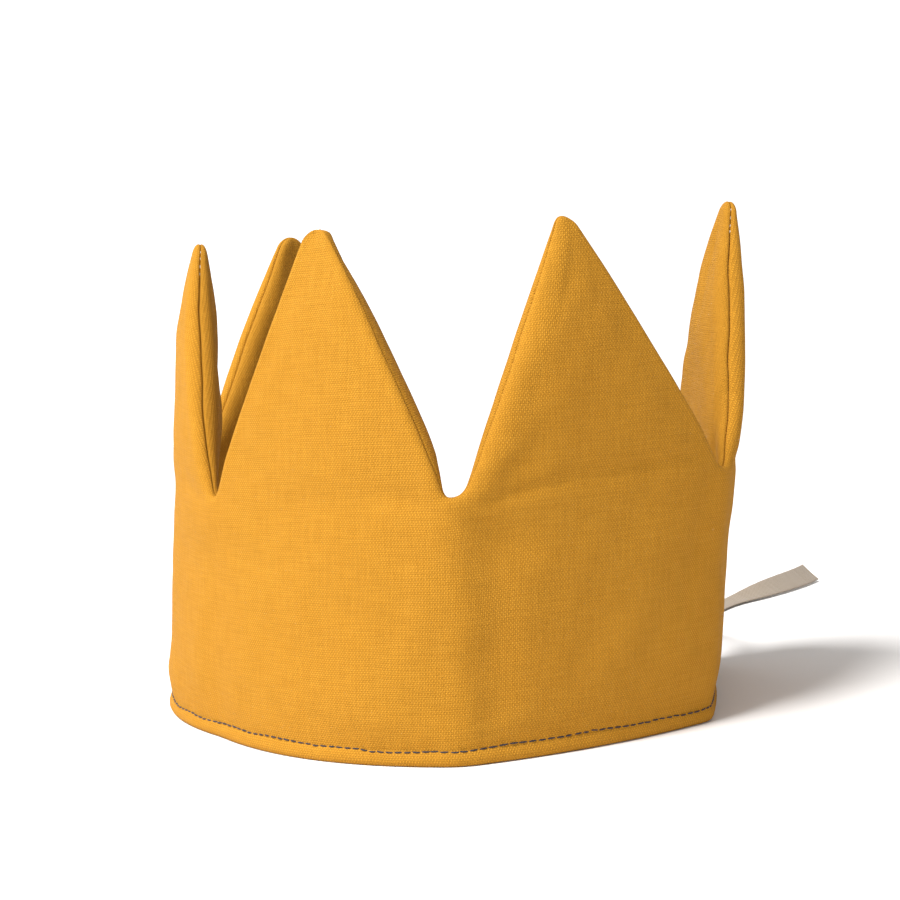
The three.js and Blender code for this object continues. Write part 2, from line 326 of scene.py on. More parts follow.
# ---- the tie, along the same route as its CAD solid: [x, y, z] in mm, then the twist ----
TIE_ROUTE = [
    [52.4, 89.1, 32, 0],
    [48.7, 97, 31.8, 2],
    [44.6, 106.1, 30, 7],
    [40.7, 115.3, 25, 15],
    [36.6, 124.5, 17.5, 28],
    [32.3, 133.5, 10, 44],
    [28, 142.7, 4.8, 62],
    [24, 152, 2, 77],
    [20.6, 161.5, 1, 87],
    [17.9, 171.3, 0.8, 90],
    [16.2, 181.4, 0.8, 90],
    [15.5, 191.5, 0.8, 90],
    [15.9, 201, 0.9, 90],
    [17.6, 210.5, 1.6, 82],
    [20, 219.1, 2.6, 71],
    [22, 228, 3.3, 62],
    [23.6, 237.5, 3.7, 56],
    [24.7, 247.5, 3.9, 53],
    [25.3, 258, 4, 51],
    [25, 269, 4.1, 50],
]
TAPE_WIDTH = 10 * MM
TAPE_THICKNESS = 0.7 * MM
TAPE_STEPS = 6  # rings between two points of a route


def smooth_route(route):
    """The route's points and twists, with TAPE_STEPS rings to a span on a Catmull-Rom curve."""
    points = np.array(route, float)
    points[:, :3] *= MM
    padded = np.vstack([2 * points[0] - points[1], points, 2 * points[-1] - points[-2]])
    rings = []
    for k in range(1, len(points)):
        a, b, c, d = padded[k - 1 : k + 3]
        square = 2 * a - 5 * b + 4 * c - d
        cube = 3 * b - a - 3 * c + d
        for step in range(TAPE_STEPS):
            t = step / TAPE_STEPS
            rings.append(0.5 * (2 * b + (c - a) * t + square * t**2 + cube * t**3))
    rings.append(points[-1])
    return np.array(rings)


def tape(name, route, body, node):
    """A flat woven tape along a route, standing for a CAD node, with a slight cup and uneven edges."""
    rings = smooth_route(route)
    centres = rings[:, :3]
    tangents = unit(np.gradient(centres, axis=0))
    flat = unit(np.cross([0, 0, 1], tangents))
    upright = np.cross(tangents, flat)
    twist = np.radians(rings[:, 3])[:, None]
    side = upright * np.cos(twist) + flat * np.sin(twist)
    normal = np.cross(tangents, side)
    lengths = np.concatenate([[0], np.cumsum(np.linalg.norm(np.diff(centres, axis=0), axis=1))])
    across = np.array([-1, -0.97, -0.86, -0.6, -0.3, 0, 0.3, 0.6, 0.86, 0.97, 1])
    selvedge = 1 - 0.35 * np.abs(across) ** 8
    top = np.stack([across, selvedge], 1)
    under = top[-2:0:-1] * [1, -1]
    section = np.vstack([top, under])
    section[[0, len(across) - 1], 1] = 0
    cup = 0.25 * MM * (section[:, 0] ** 2 - 0.5)
    points, uvs = [], []
    for k in range(len(rings)):
        edge = 1 + 0.008 * math.sin(lengths[k] * 900) + 0.006 * math.sin(lengths[k] * 2300 + 1)
        wide = section[:, 0] * TAPE_WIDTH / 2 * edge
        thick = section[:, 1] * TAPE_THICKNESS / 2 + cup
        points.append(centres[k] + side[k] * wide[:, None] + normal[k] * thick[:, None])
        uvs.append(np.stack([np.full(len(section), lengths[k]), wide], 1))
    count = len(section)
    index = np.arange(len(rings) * count).reshape(len(rings), count)
    index = np.hstack([index, index[:, :1]])
    quads = grid_quads(index)[:, ::-1]
    caps = []
    for ring, flip in ((0, False), (len(rings) - 1, True)):
        for k in range(len(across) - 1):
            corners = [k, k + 1, (count - k - 1) % count, (count - k) % count]
            face = [ring * count + corner for corner in dict.fromkeys(corners)]
            caps.append(face if flip else face[::-1])
    piece = mesh_object(name, np.concatenate(points), quads, caps)
    add_pattern(piece, np.concatenate(uvs))
    piece.data.materials.append(MATERIALS["tape"])
    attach(piece, body)
    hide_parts(node)


def add_pattern(piece, uvs):
    layer = piece.data.uv_layers.new(name="pattern")
    layer.data.foreach_set("uv", np.asarray(uvs, np.float32)[corner_points(piece.data)].ravel())


tape("tie_right_tape", TIE_ROUTE, "rear_right", "tie_right")


# ---- the line of the strip ----
def foot_plan():
    feet = np.zeros((len(PANELS) + 1, 2))
    feet[FRONT] = FRONT_FOOT
    feet[FRONT + 1] = FRONT_FOOT + [PANEL_WIDTH, 0]
    heading = 0.0
    for i in range(FRONT + 1, len(PANELS)):
        heading += math.radians(FOLD_TURNS[i])
        feet[i + 1] = feet[i] + PANEL_WIDTH * np.array([math.cos(heading), math.sin(heading)])
    heading = math.pi
    for i in range(FRONT, 0, -1):
        heading -= math.radians(FOLD_TURNS[i])
        feet[i - 1] = feet[i] + PANEL_WIDTH * np.array([math.cos(heading), math.sin(heading)])
    return feet


FEET = foot_plan()
ALONG = unit(np.diff(FEET, axis=0))
OUTWARD = np.stack([ALONG[:, 1], -ALONG[:, 0], np.zeros(len(PANELS))], 1)
BULGES = np.array([panel["bulge"] for panel in PANELS])
TIP_LEANS = np.array([panel["tip_lean"] for panel in PANELS])
TIP_SHIFTS = np.array([panel["tip_shift"] for panel in PANELS])
FOLD_ROUNDS = np.array([5, 6, 6, 8.5, 5, 5]) * MM  # how far each side of each fold the cloth is rounded
ROUND_STEPS = 8
FOLD_SLIDES = np.array([0, 0, 0, 2.6, 0, 0]) * MM  # the band is folded this far along from a valley
LEAN_REACH = 12 * MM  # a point's lean dies out this close to its folds
VALLEY_PULLS = np.array([[0, 0, 0], [0, 0, 0], [-1.6, 0, 0], [0.6, 0, 0], [1.4, 0.6, 0], [0, 0, 0]]) * MM


def fold_at(i, z):
    feet = np.column_stack([FEET[i], z])
    pull = np.cos(math.pi / 2 * np.clip(z / BAND_HEIGHT - 1, -1, 1)) ** 2
    return feet + FOLD_LEANS[i] * (z / BAND_HEIGHT)[:, None] + VALLEY_PULLS[i] * pull[:, None]


def creased_place(u, z):
    """The outer line of the strip with sharp folds: u along the strip, z up."""
    i = panel_at(u)
    s = u - i * PANEL_WIDTH
    across = s / PANEL_WIDTH
    up = z / CROWN_HEIGHT
    bow = BULGES[i] * (1 - up) * 4 * across * (1 - across)
    near = np.clip(np.minimum(s, PANEL_WIDTH - s) / LEAN_REACH, 0, 1)
    out = bow + TIP_LEANS[i] * up * up * near
    low, high = fold_at(i, z), fold_at(i + 1, z)
    return low + (high - low) * across[:, None] + OUTWARD[i] * out[:, None]


def panel_at(u):
    return np.clip((u // PANEL_WIDTH).astype(int), 0, len(PANELS) - 1)


def fold_gap(u):
    """How far each place is from the nearest fold, and which fold that is."""
    nearest = np.clip(np.round(u / PANEL_WIDTH), 1, len(PANELS) - 1).astype(int)
    return np.abs(u - nearest * PANEL_WIDTH), nearest


def from_valley(u, z):
    return np.hypot(fold_gap(u)[0], z - BAND_HEIGHT)


def rounded_place(u, z):
    gap, fold = fold_gap(u)
    u = u - FOLD_SLIDES[fold] * np.exp(-((gap / (22 * MM)) ** 2)) / (1 + np.exp((z - 70 * MM) / (4 * MM)))
    steps = np.arange(-ROUND_STEPS, ROUND_STEPS + 1)
    weights = 1 + np.cos(math.pi * steps / (ROUND_STEPS + 1))
    weights /= weights.sum()
    spread = np.interp(u, np.arange(len(PANELS) + 1) * PANEL_WIDTH, FOLD_ROUNDS) / ROUND_STEPS
    return sum(w * creased_place(u + k * spread, z) for k, w in zip(steps, weights))


def surface(u, z):
    """Places on the rounded line of the strip and the outward directions there."""
    step = 0.4 * MM
    along = rounded_place(u + step, z) - rounded_place(u - step, z)
    upward = rounded_place(u, z + step) - rounded_place(u, z - step)
    outward = unit(np.cross(along, upward))
    outward[:, 2] *= np.clip(z / (25 * MM), 0, 1)
    return rounded_place(u, z), unit(outward)


# ---- the outline of the points, on the flat cloth ----
# Each point, in mm: how far its sides bow out, how round its tip is and half its width (left, right),
# and its extra height.
OUTLINES = [
    {"bow": (0.8, 0.8), "round": (3.5, 3.5), "half": (3.6, 3.6), "top": 0.8},
    {"bow": (0.6, 0.6), "round": (2.6, 2.6), "half": (3.0, 3.0), "top": 0.8},
    {"bow": (0.4, 5.0), "round": (3.6, 0.9), "half": (3.4, 2.8), "top": 2.0},
    {"bow": (-2.6, 0.2), "round": (2.6, 3.4), "half": (1.9, 2.4), "top": -0.7},
    {"bow": (0.8, 0.8), "round": (2.6, 2.6), "half": (3.0, 3.0), "top": 0.6},
]
NOTCH_HALF_WIDTHS = np.array([3, 3, 1.6, 3.6, 2.6, 3]) * MM  # at the bottom of each valley
NOTCH_HEIGHT = 4 * MM  # above this the sides run straight to the tip
NOTCH_POWER = 2.8  # 2 is an ellipse; more is flatter at the bottom
BOW_POWER = 0.45  # less than 1 makes a side bow over most of its length


def tip_place(i):
    return PANEL_WIDTH / 2 + TIP_SHIFTS[i]


def top_of(i):
    return CROWN_HEIGHT + OUTLINES[i]["top"] * MM


def side_at(i, z, right):
    """Where a side of point i is at heights z, from the fold on its left."""
    shape = OUTLINES[i]
    k = int(right)
    top = top_of(i)
    h = np.clip(z - BAND_HEIGHT, 0, None)
    climb = h / (top - BAND_HEIGHT)
    wide = NOTCH_HALF_WIDTHS[i + k]
    notch = wide * (1 - (1 - np.clip(h / NOTCH_HEIGHT, 0, 1)) ** NOTCH_POWER) ** (1 / NOTCH_POWER)
    half = shape["half"][k] * MM
    reach = PANEL_WIDTH - tip_place(i) if right else tip_place(i)
    straight = notch + (reach - half - wide) * climb
    straight -= shape["bow"][k] * MM * np.clip(np.sin(math.pi * climb), 0, 1) ** BOW_POWER
    width = reach - straight
    radius = shape["round"][k] * MM
    over = np.clip((z - (top - radius)) / radius, 0, 1)
    width = width * np.sqrt(np.clip(1 - over**2.4, 0, 1))
    return tip_place(i) + width if right else tip_place(i) - width


# ---- rows and columns of the cloth ----
EDGE_STEPS = np.array([0, 0.18, 0.4, 0.7, 1.1, 1.6, 2.2, 3.0, 4.0, 5.2, 6.5]) * MM
CELL = 1.35 * MM


def spaced(start, stop, cell):
    return np.linspace(start, stop, max(2, int(round((stop - start) / cell)) + 1))


def band_rows():
    hem = [0, 0.12, 0.35, 0.7, 1.1, 1.6, 2.2, 2.9, 3.5, 4.0, 4.4, 4.75, 5.0, 5.25, 5.6, 6.1, 6.8, 7.8, 9]
    hem = np.array(hem) * MM
    near_valley = BAND_HEIGHT - EDGE_STEPS[::-1]
    return np.concatenate([hem, spaced(hem[-1], near_valley[0], CELL)[1:-1], near_valley])


def point_rows():
    """Heights above the valley, as shares of the way to the tip."""
    notch = NOTCH_HEIGHT * (1 - np.cos(np.radians(np.linspace(0, 90, 9)[1:]))) ** 1.5
    tip = POINT_HEIGHT - np.array([4.5, 3.6, 2.9, 2.3, 1.75, 1.3, 0.9, 0.55, 0.28, 0.1, 0.02]) * MM
    heights = np.concatenate([notch, spaced(notch[-1], tip[0], CELL)[1:-1], tip])
    return heights / POINT_HEIGHT


def column_shares():
    half = PANEL_WIDTH / 2
    left = np.concatenate([EDGE_STEPS, spaced(EDGE_STEPS[-1], half, CELL)[1:]]) / PANEL_WIDTH
    return np.concatenate([left, 1 - left[-2::-1]])


BAND_ROWS = band_rows()
POINT_ROWS = point_rows()
SHARES = column_shares()
ROW_COUNT = len(BAND_ROWS) + len(POINT_ROWS)
VALLEY_ROW = len(BAND_ROWS) - 1
MIDDLE_COLUMN = len(SHARES) // 2


def flat_grid(i, band, point, shares):
    """The flat cloth of panel i as a grid: u along the strip and z up, rows by columns."""
    heights = np.concatenate([band, BAND_HEIGHT + point * (top_of(i) - BAND_HEIGHT)])
    left = np.where(heights > BAND_HEIGHT, side_at(i, heights, False), 0)
    right = np.where(heights > BAND_HEIGHT, side_at(i, heights, True), PANEL_WIDTH)
    u = left[:, None] + (right - left)[:, None] * shares[None, :]
    z = np.repeat(heights[:, None], len(shares), 1)
    return u + i * PANEL_WIDTH, z


# ---- distance from the turned seams ----
def seam_lines():
    """The seam as one line of points over the whole strip, with directions into the cloth."""
    shares = np.unique(np.concatenate([np.linspace(0, 1, 420), POINT_ROWS, np.linspace(0, 0.06, 60)]))
    points = [[0, z] for z in np.linspace(0, BAND_HEIGHT, 120)[:-1]]
    for i in range(len(PANELS)):
        heights = BAND_HEIGHT + shares * (top_of(i) - BAND_HEIGHT)
        left = np.stack([side_at(i, heights, False) + i * PANEL_WIDTH, heights], 1)
        right = np.stack([side_at(i, heights, True) + i * PANEL_WIDTH, heights], 1)
        points += left.tolist() + right[::-1].tolist()
    points += [[STRIP_WIDTH, z] for z in np.linspace(BAND_HEIGHT, 0, 120)[1:]]
    line = np.array(points)
    keep = np.concatenate([[True], np.linalg.norm(np.diff(line, axis=0), axis=1) > 1e-7])
    line = line[keep]
    tangent = unit(np.gradient(line, axis=0))
    return line, np.stack([tangent[:, 1], -tangent[:, 0]], 1)


SEAM, SEAM_INWARD = seam_lines()


def from_seam(u, z):
    """How far each place is from the nearest seam, and the direction away from it."""
    spots = np.stack([u, z], 1)
    distance = np.zeros(len(spots))
    away = np.zeros((len(spots), 2))
    for start in range(0, len(spots), 2000):
        part = spots[start : start + 2000]
        low, high = part[:, 0].min() - 0.03, part[:, 0].max() + 0.03
        near = np.flatnonzero((SEAM[:, 0] >= low) & (SEAM[:, 0] <= high))
        line = SEAM[near]
        gap = ((part[:, None, :] - line[None, :, :]) ** 2).sum(2)
        nearest = gap.argmin(1)
        found = np.sqrt(gap[np.arange(len(part)), nearest])
        inward = SEAM_INWARD[near][nearest]
        straight = (part - line[nearest]) / np.maximum(found, 1e-9)[:, None]
        blend = np.clip(found / (0.6 * MM), 0, 1)[:, None]
        along = np.einsum("ij,ij->i", part - line[nearest], inward)
        distance[start : start + 2000] = np.where(found < 0.6 * MM, np.clip(along, 0, None), found)
        away[start : start + 2000] = unit(inward * (1 - blend) + straight * blend)
    return distance, away


# ---- the padding's thickness and the rolled edges ----
# How far in from a seam each layer of a point comes up to its full thickness, on its left and right sides.
EDGE_ROLLS = {
    1: np.array([[4.2, 4.2], [4.2, 4.2], [1.7, 3.0], [7.0, 1.9], [4.2, 4.2]]) * MM,
    -1: np.array([[5.5, 5.5], [5.5, 5.5], [3.0, 3.0], [3.2, 3.2], [5.5, 5.5]]) * MM,
}
# How far the lining reaches past the face at a point's sides, low down and near its tip.
OVERHANGS = np.array([[0, 0], [0, 0], [2.0, -2.4], [0.9, 0], [0, 0]]) * MM
VALLEY_ROLL = 2.6 * MM
HEM_ROLL = 2.0 * MM
# Half the groove at the seam of each point, left and right, as a share of half the thickness.
GROOVE_WIDTHS = np.array([[0.23, 0.23], [0.23, 0.23], [0.13, 0.13], [0.15, 0.13], [0.23, 0.23]])
HEM_GROOVE_WIDTH = 0.23
GROOVE_DEPTH = 0.26  # how far the rolls reach beyond their seam, as a share of the roll
# The least that the rolls reach beyond their seam, left and right.
LEAST_GROOVES = np.array([[0.8, 0.8], [0.8, 0.8], [0.8, 1.5], [0.9, 0.8], [0.8, 0.8]]) * MM
UNDER_SHARE = 0.2  # the share of a roll that the groove's side takes on the flat cloth
HEM_PUCKER = 0.16 * MM
EDGE_HALF = 1.7 * MM  # half the thickness where the padding is thinnest, at a valley or a tip
BAND_PLUMP = 1.7 * MM  # what the padding adds to that
POINT_PLUMP = 4.0 * MM
CREASE_HALF = 2.6 * MM  # half the thickness along a fold
HEM_PINCH = 1.15 * MM  # half the thickness at the hem stitches
HEM_LIP = 0.95 * MM  # how much fuller the hem is below them
# How far towards its face a point's seam lies, left and right, as a share of half the thickness.
SEAM_SHIFTS = np.array([[0, 0], [0.12, 0.12], [0.62, 0.58], [0.05, 0.5], [-0.08, -0.08]])
FLAT_FACES = np.array([0, 0, 0.7, 0.8, 0])  # how much of the taper to the tip is on the lining side
SIDE_CHANGE = 6 * MM  # over this width a point's left values turn into its right ones
VALLEY_SHIFT = 1.6 * MM  # the padding is thin at a valley, so its middle lies further out there


def past_tip(u):
    panel = panel_at(u)
    return u - (panel * PANEL_WIDTH + PANEL_WIDTH / 2 + TIP_SHIFTS[panel])


def by_side(table, u):
    """Values that change from a point's left one to its right one as u passes its tip."""
    left, right = table[panel_at(u)].T
    return left + (right - left) * np.clip(0.5 + past_tip(u) / SIDE_CHANGE, 0, 1)


def half_thickness(u, z):
    gap, _ = fold_gap(u)
    tip = np.hypot(past_tip(u), z - CROWN_HEIGHT)
    plump = (1 - np.exp(-from_valley(u, z) / (10 * MM))) * (1 - np.exp(-tip / (13 * MM)))
    in_point = 1 / (1 + np.exp(-(z - BAND_HEIGHT - 6 * MM) / (9 * MM)))
    half = EDGE_HALF + (BAND_PLUMP + (POINT_PLUMP - BAND_PLUMP) * in_point) * plump
    below = 1 / (1 + np.exp((z - BAND_HEIGHT - 3 * MM) / (2.5 * MM)))
    crease = np.exp(-((gap / (7 * MM)) ** 2)) * below
    half = half * (1 - crease) + CREASE_HALF * crease
    lip = HEM_PINCH + HEM_LIP * np.clip(1 - ((z - 2.1 * MM) / (2.9 * MM)) ** 2, 0, 1)
    risen = HEM_PINCH + (half - HEM_PINCH) * (1 - np.exp(-(z - HEM_HEIGHT) / (8 * MM)))
    pucker = sum(np.sin(u * k + k) for k in (760, 1130, 1710)) / 3
    pucker *= np.exp(-np.abs(z - HEM_HEIGHT) / (5 * MM))
    return np.where(z < HEM_HEIGHT, lip, risen) + HEM_PUCKER * pucker * np.clip(z / HEM_HEIGHT, 0, 1)


def roll(distance, radius, groove, width):
    """Along a rolled edge: how far in it is, its share of the thickness, and the place on the cloth."""
    share = np.clip(distance / radius, 0, 1)
    under = np.clip(share / UNDER_SHARE, 0, 1) * math.pi / 2
    over = np.clip((share - UNDER_SHARE) / (1 - UNDER_SHARE), 0, 1)
    angle = np.arccos(1 - over**1.35)
    inset = np.where(share < UNDER_SHARE, groove * (1 - np.sin(under)), (1 - np.cos(angle)) * radius)
    inset = np.where(share < 1, inset, distance)
    height = np.where(share < UNDER_SHARE, width * (1 - np.cos(under)), width + (1 - width) * np.sin(angle))
    cloth = distance - radius * 0.62 * (1 - share) ** 1.6
    return inset, height, cloth


def edge_radius(u, z, side):
    share = 1 - np.exp(-from_valley(u, z) / (14 * MM))
    radius = VALLEY_ROLL + (by_side(EDGE_ROLLS[side], u) - VALLEY_ROLL) * share
    room = np.clip(CROWN_HEIGHT + 4.5 * MM - z, 0, None) * 0.46
    return np.minimum(radius, np.maximum(room, 1.4 * MM))


def groove_depth(u, radius):
    return np.maximum(GROOVE_DEPTH * radius, by_side(LEAST_GROOVES, u))


# ---- soft creases and undulations ----
def waves(seed, count, shortest, longest):
    """A smooth random field on the flat cloth, about -1 to 1, made of plane waves."""
    random = np.random.default_rng(seed)
    length = random.uniform(shortest, longest, count)
    angle = random.uniform(0, 2 * math.pi, count)
    phase = random.uniform(0, 2 * math.pi, count)
    kx = 2 * math.pi * np.cos(angle) / length
    kz = 2 * math.pi * np.sin(angle) / length

    def field(u, z):
        return sum(np.sin(a * u + b * z + c) for a, b, c in zip(kx, kz, phase)) / math.sqrt(count) / 1.5

    return field


# A layer's wide and fine undulations, outside and lining.
WIDE_WAVES = {1: waves(11, 14, 35 * MM, 80 * MM), -1: waves(12, 14, 30 * MM, 70 * MM)}
FINE_WAVES = {1: waves(21, 18, 11 * MM, 26 * MM), -1: waves(22, 18, 9 * MM, 22 * MM)}
# Soft creases on the outside: panel, start and end as [across, up] in mm, half width, depth (mm).
CREASES = [
    (3, (3, 79), (34, 84), 2.2, -0.9),
    (3, (34, 84), (93, 88), 3.0, -1.0),
    (3, (6, 76), (24, 62), 3.0, -0.8),
    (3, (9, 88), (22, 98), 3.0, 0.5),
    (3, (13, 10), (15, 74), 6.0, -1.3),
    (3, (50, 20), (70, 60), 7.0, 0.7),
    (3, (80, 40), (86, 78), 4.0, -0.6),
    (4, (2, 82), (30, 86), 3.0, -0.7),
    (2, (90, 78), (72, 84), 3.0, -0.5),
    (2, (86, 30), (88, 76), 5.0, 0.4),
    (1, (92, 80), (70, 86), 3.5, -0.5),
    (1, (8, 84), (30, 90), 3.0, -0.4),
]


def crease_depth(u, z):
    total = np.zeros(len(u))
    for panel, start, end, width, depth in CREASES:
        a = np.array(start) * MM + [panel * PANEL_WIDTH, 0]
        b = np.array(end) * MM + [panel * PANEL_WIDTH, 0]
        line = b - a
        spot = np.stack([u, z], 1) - a
        t = np.clip(spot @ line / (line @ line), 0, 1)
        gap = np.linalg.norm(spot - t[:, None] * line, axis=1)
        fade = np.sin(math.pi * np.clip(0.12 + 0.76 * t, 0, 1))
        total += depth * MM * fade * np.exp(-((gap / (width * MM)) ** 2))
    return total


def seam_shift(u, z):
    """How far out the seam lies from the middle layer."""
    risen = np.clip((z - BAND_HEIGHT) / (12 * MM), 0, 1)
    wander = 0.25 * MM * np.sin(z * 190 + u * 37) + 0.08 * MM * np.sin(z * 430 + u * 61)
    return (by_side(SEAM_SHIFTS, u) * half_thickness(u, z) + wander) * risen


PUFF_SHARES = {1: 0.5, -1: 1.0}  # the face is tauter than the lining


def overhang(u, z, distance):
    up = np.clip((z - BAND_HEIGHT) / POINT_HEIGHT, 0, 1)
    along = np.clip(up / 0.15, 0, 1) * np.clip((1 - up) / 0.1, 0, 1)
    reach = np.clip(distance / (1.6 * MM), 0, 1) * np.exp(-distance / (9 * MM))
    low, high = OVERHANGS[panel_at(u)].T
    return (low + (high - low) * up) * along * reach


def middle_depth(u, z):
    taper = np.clip((z - BAND_HEIGHT) / POINT_HEIGHT, 0, 1) ** 3
    flat = FLAT_FACES[panel_at(u)] * POINT_PLUMP * taper
    return -MIDDLE_DEPTH + VALLEY_SHIFT * np.exp(-((from_valley(u, z) / (16 * MM)) ** 2)) + flat


def cloth_point(u, z, side, puff):
    """Places on one face of the pillow. side 1 is outside, -1 is the lining; puff is extra thickness."""
    distance, away = from_seam(u, z)
    radius = edge_radius(u, z, side)
    inset, share, cloth = roll(distance, radius, groove_depth(u, radius), by_side(GROOVE_WIDTHS, u))
    if side < 0:
        inset = inset - overhang(u, z, distance)
    hem_inset, hem_share, hem_cloth = roll(z, HEM_ROLL, GROOVE_DEPTH * HEM_ROLL, HEM_GROOVE_WIDTH)
    u_moved = u + away[:, 0] * (inset - distance)
    z_moved = z + away[:, 1] * (inset - distance) + (hem_inset - z)
    half = half_thickness(u, z)
    settled = np.clip(distance / (9 * MM), 0, 1) * np.clip((z - HEM_HEIGHT) / (9 * MM), 0, 1)
    ripple = 0.55 * MM * WIDE_WAVES[side](u, z) + 0.16 * MM * FINE_WAVES[side](u, z)
    gap, _ = fold_gap(u)
    free = 1 - np.exp(-((gap / (7 * MM)) ** 2))
    half = half + settled * (ripple + PUFF_SHARES[side] * puff * free)
    if side > 0:
        half = half + crease_depth(u, z) * settled
    place, outward = surface(u_moved, z_moved)
    depth = middle_depth(u, z) + side * half * share * hem_share + seam_shift(u, z) * (1 - share)
    flat_u = u + away[:, 0] * (cloth - distance)
    flat_z = z + away[:, 1] * (cloth - distance) + hem_cloth - z
    return place + outward * depth[:, None], np.stack([flat_u, flat_z], 1)


# ---- the two canvas layers ----
CANVAS = 0.5 * MM


def layer_grid(side, puffs):
    """One face of the whole strip: points and flat places for every panel, rows by columns."""
    grids = []
    for i in range(len(PANELS)):
        u, z = flat_grid(i, BAND_ROWS, POINT_ROWS, SHARES)
        points, flat = cloth_point(u.ravel(), z.ravel(), side, puffs[i].ravel())
        grids.append((points.reshape(*u.shape, 3), flat.reshape(*u.shape, 2)))
    return grids


def vertex_normals(points, quads):
    face = diagonal_cross(points, quads)
    total = np.zeros_like(points)
    for k in range(4):
        np.add.at(total, quads[:, k], face)
    return unit(total)


def strip_index(rows, columns, valley):
    """Numbers for the points of a row of panels that share their edges up to the valley."""
    grids, start = [], 0
    for width in columns:
        grid = np.zeros((rows, width), int)
        fresh = np.ones(grid.shape, bool)
        if grids:
            fresh[: valley + 1, 0] = False
            grid[: valley + 1, 0] = grids[-1][: valley + 1, -1]
        grid[fresh] = np.arange(start, start + fresh.sum())
        start += fresh.sum()
        grids.append(grid)
    return grids, start


def layer_normals(grids, side):
    index, count = strip_index(ROW_COUNT, [len(SHARES)] * len(PANELS), VALLEY_ROW)
    points = np.zeros((count, 3))
    for grid, (places, _) in zip(index, grids):
        points[grid] = places
    quads = np.concatenate([grid_quads(grid) for grid in index])
    normals = vertex_normals(points, quads) * side
    return [normals[grid] for grid in index]


def skin(name, side, fold, grids, normals):
    """One layer of canvas across a fold, from the middle of one panel to the middle of the next."""
    spans = []
    for panel in (fold - 1, fold):
        first = 0 if panel == fold or panel == 0 else MIDDLE_COLUMN
        last = len(SHARES) if panel == fold - 1 or panel == len(PANELS) - 1 else MIDDLE_COLUMN + 1
        spans.append((panel, first, last))
    index, count = strip_index(ROW_COUNT, [last - first for _, first, last in spans], VALLEY_ROW)
    points, flat, direction = np.zeros((count, 3)), np.zeros((count, 2)), np.zeros((count, 3))
    for grid, (panel, first, last) in zip(index, spans):
        points[grid] = grids[panel][0][:, first:last]
        flat[grid] = grids[panel][1][:, first:last]
        direction[grid] = normals[panel][:, first:last]
    front = np.concatenate([grid_quads(grid) for grid in index])
    if side < 0:
        front = front[:, ::-1]
    back = front[:, ::-1] + count
    edges = np.concatenate([front[:, [k, (k + 1) % 4]] for k in range(4)])
    keys = edges.min(1) * count + edges.max(1)
    _, where, times = np.unique(keys, return_index=True, return_counts=True)
    rim_edges = edges[where[times == 1]]
    rim = np.stack([rim_edges[:, 1], rim_edges[:, 0], rim_edges[:, 0] + count, rim_edges[:, 1] + count], 1)
    inner = points - direction * CANVAS
    inner[:, 2] = np.maximum(inner[:, 2], 0.2 * MM)
    both = np.vstack([points, inner])
    piece = mesh_object(name, both, np.vstack([front, back, rim]))
    add_pattern(piece, np.vstack([flat, flat]))
    shading = np.vstack([direction, -direction])[corner_points(piece.data)]
    rim_start = (len(front) + len(back)) * 4
    shading[rim_start:] = np.repeat(unit(diagonal_cross(both, rim)), 4, axis=0)
    piece.data.normals_split_custom_set(shading.tolist())
    return piece


FOLD_BLEND = 9 * MM  # how far each side of a fold bend() takes its two end places, which are not used


def bend(piece, fold):
    """Bakes a piece's placement into its mesh; the places on each side of the fold are worked out but not
    used.
    """
    u = fold * PANEL_WIDTH
    level = np.array([BAND_HEIGHT / 2])
    ends = [rounded_place(np.array([u + way * FOLD_BLEND]), level)[0] for way in (-1, 1)]
    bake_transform(piece)


NO_PUFFS = [np.zeros((ROW_COUNT, len(SHARES)))] * len(PANELS)
ROW_HEIGHTS = np.concatenate([BAND_ROWS, BAND_HEIGHT + POINT_ROWS * POINT_HEIGHT])

# ---- cloth simulation: each layer, held at its seams, folds and hem, is blown up a little ----
SIM_CELL = 3.8 * MM
SIM_FRAMES = 20
PRESSURE = 4.0
SLACK = 0.006  # the cloth is this share larger than the shape that it is held to
MOVE_CAP = 2 * MM


def spaced_rows(places, kept):
    """Every row about SIM_CELL from the last, with the first, the last and the kept one among them."""
    chosen = []
    for start, stop in ((0, kept), (kept, len(places) - 1)):
        count = max(2, int(round((places[stop] - places[start]) / SIM_CELL)) + 1)
        wanted = np.linspace(places[start], places[stop], count)
        chosen += [start + int(np.abs(places[start : stop + 1] - place).argmin()) for place in wanted]
    return np.unique(chosen)


